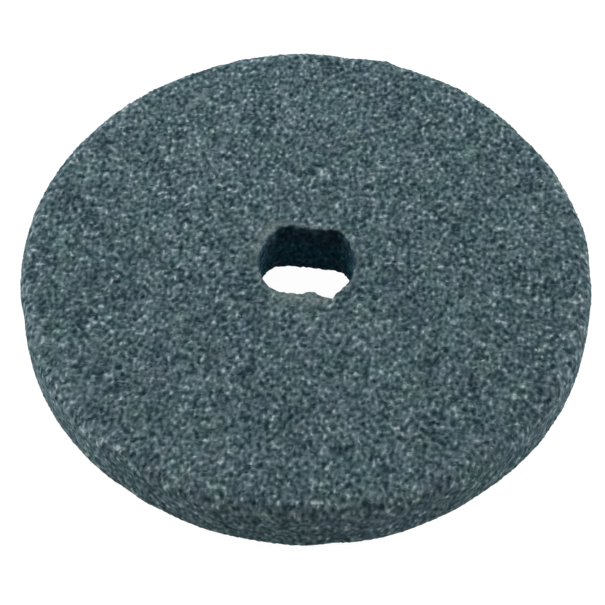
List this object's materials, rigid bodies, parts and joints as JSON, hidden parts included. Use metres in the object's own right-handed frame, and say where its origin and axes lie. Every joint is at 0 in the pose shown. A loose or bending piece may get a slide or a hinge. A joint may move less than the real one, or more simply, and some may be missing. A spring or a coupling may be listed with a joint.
{
  "type": "grinding wheel",
  "caption": "Small flat bonded abrasive wheel with rounded rim edges and a double-D hole that a spindle with two flats drives.",
  "frame": {"origin": "on the hole's axis, in the plane of the lower flat side", "axes": "+Z along the wheel's axis from the lower flat side to the upper one; the hole's two flats run along X and face along Y"},
  "size_m": [0.05, 0.05, 0.006],
  "materials": {
    "bonded_abrasive": "open, gritty vitrified silicon carbide grain, blue-grey to grey-green, with dark pores and light glinting grains"
  },
  "bodies": {
    "root": {"grinding_wheel": "bonded_abrasive"}
  },
  "joints": []
}
